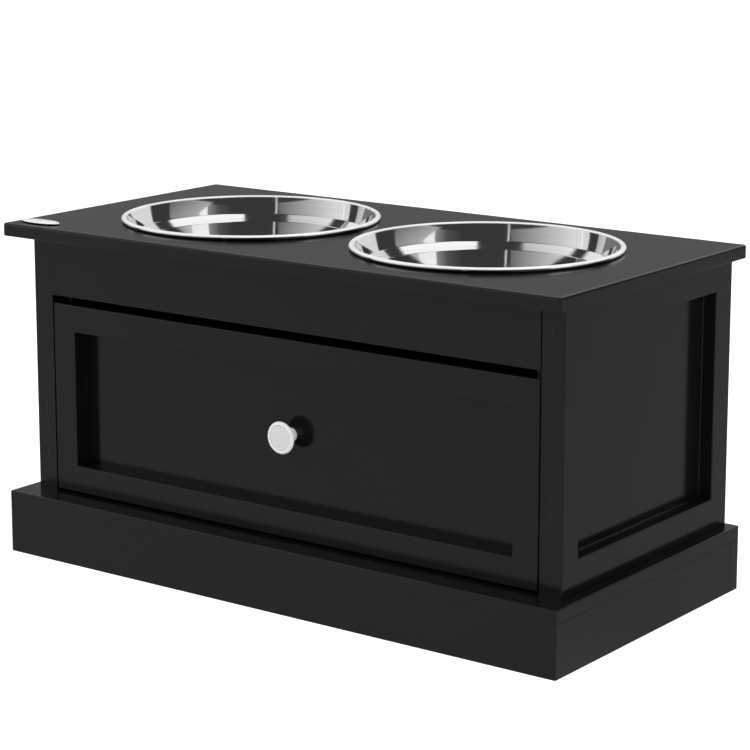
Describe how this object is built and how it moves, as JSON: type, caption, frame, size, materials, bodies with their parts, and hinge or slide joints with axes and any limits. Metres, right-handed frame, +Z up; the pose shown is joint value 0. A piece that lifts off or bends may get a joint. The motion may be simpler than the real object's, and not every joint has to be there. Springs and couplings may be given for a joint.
{
  "type": "elevated dog feeder with storage drawer",
  "caption": "Raised feeding station for a dog: a black framed cabinet on a plinth, with steel bowls that hang in its top and a wide storage drawer below them.",
  "frame": {"origin": "on the ground under the middle of the plinth", "axes": "+X to the right along the front, +Y to the back, +Z up; the drawer opens towards -Y"},
  "size_m": [0.6, 0.3, 0.3143],
  "materials": {
    "black_lacquer": "smooth satin black lacquer on fibreboard",
    "stainless_steel": "polished stainless steel sheet",
    "chrome": "bright chrome plating",
    "zinc_steel": "bright zinc plating",
    "nylon": "white nylon",
    "beech": "plain beech dowel",
    "hardboard": "black faced hardboard",
    "pine": "plain pine block"
  },
  "bodies": {
    "cabinet": {"apron": "black_lacquer", "apron_dowels": "beech", "back_panel": "black_lacquer", "back_screws": "zinc_steel", "base_screws": "zinc_steel", "block_screws": "zinc_steel", "bracket_screws": "zinc_steel", "cabinet_roller_pins": "zinc_steel", "cabinet_runner_left": "zinc_steel", "cabinet_runner_right": "zinc_steel", "cabinet_runner_screws": "zinc_steel", "corner_blocks": "pine", "plinth_cap": "black_lacquer", "side_inner_frame_left": "black_lacquer", "side_inner_frame_right": "black_lacquer", "side_outer_frame_left": "black_lacquer", "side_outer_frame_right": "black_lacquer", "side_panel_left": "black_lacquer", "side_panel_right": "black_lacquer", "skirt_back": "black_lacquer", "skirt_front": "black_lacquer", "skirt_left": "black_lacquer", "skirt_right": "black_lacquer", "top_board": "black_lacquer", "top_brackets": "zinc_steel"},
    "drawer": {"drawer_outer_frame": "black_lacquer", "drawer_inner_frame": "black_lacquer", "drawer_panel": "black_lacquer", "drawer_side_left": "black_lacquer", "drawer_side_right": "black_lacquer", "drawer_back": "black_lacquer", "drawer_bottom": "hardboard", "drawer_dowels": "beech", "drawer_screws": "zinc_steel", "knob": "chrome", "knob_screw": "zinc_steel", "drawer_runner_left": "zinc_steel", "drawer_runner_right": "zinc_steel", "drawer_roller_pins": "zinc_steel", "drawer_runner_screws": "zinc_steel"},
    "bowl_left": {"bowl_left": "stainless_steel"},
    "bowl_right": {"bowl_right": "stainless_steel"},
    "cabinet_roller_left": {"cabinet_roller_left": "nylon"},
    "cabinet_roller_right": {"cabinet_roller_right": "nylon"},
    "drawer_roller_left": {"drawer_roller_left": "nylon"},
    "drawer_roller_right": {"drawer_roller_right": "nylon"}
  },
  "joints": [
    {"name": "drawer_slide", "type": "slide", "parent": "cabinet", "child": "drawer", "axis": [0, -1, 0], "range_m": [0, 0.165]},
    {"name": "cabinet_roller_left_spin", "type": "hinge", "parent": "cabinet", "child": "cabinet_roller_left", "pos_m": [-0.24718, -0.085, 0.08], "axis": [1, 0, 0], "range_deg": [0, 1262]},
    {"name": "cabinet_roller_right_spin", "type": "hinge", "parent": "cabinet", "child": "cabinet_roller_right", "pos_m": [0.24718, -0.085, 0.08], "axis": [1, 0, 0], "range_deg": [0, 1262]},
    {"name": "drawer_roller_left_spin", "type": "hinge", "parent": "drawer", "child": "drawer_roller_left", "pos_m": [-0.24718, 0.114, 0.0798], "axis": [1, 0, 0], "range_deg": [0, 1262]},
    {"name": "drawer_roller_right_spin", "type": "hinge", "parent": "drawer", "child": "drawer_roller_right", "pos_m": [0.24718, 0.114, 0.0798], "axis": [1, 0, 0], "range_deg": [0, 1262]},
    {"name": "bowl_left_lift", "type": "slide", "parent": "cabinet", "child": "bowl_left", "axis": [0, 0, 1], "range_m": [0, 0.09]},
    {"name": "bowl_right_lift", "type": "slide", "parent": "cabinet", "child": "bowl_right", "axis": [0, 0, 1], "range_m": [0, 0.09]}
  ],
  "couplings": [
    {"joint": "cabinet_roller_left_spin", "follows": "drawer_slide", "rad_per_m": 133.33},
    {"joint": "cabinet_roller_right_spin", "follows": "drawer_slide", "rad_per_m": 133.33},
    {"joint": "drawer_roller_left_spin", "follows": "drawer_slide", "rad_per_m": 133.33},
    {"joint": "drawer_roller_right_spin", "follows": "drawer_slide", "rad_per_m": 133.33}
  ]
}
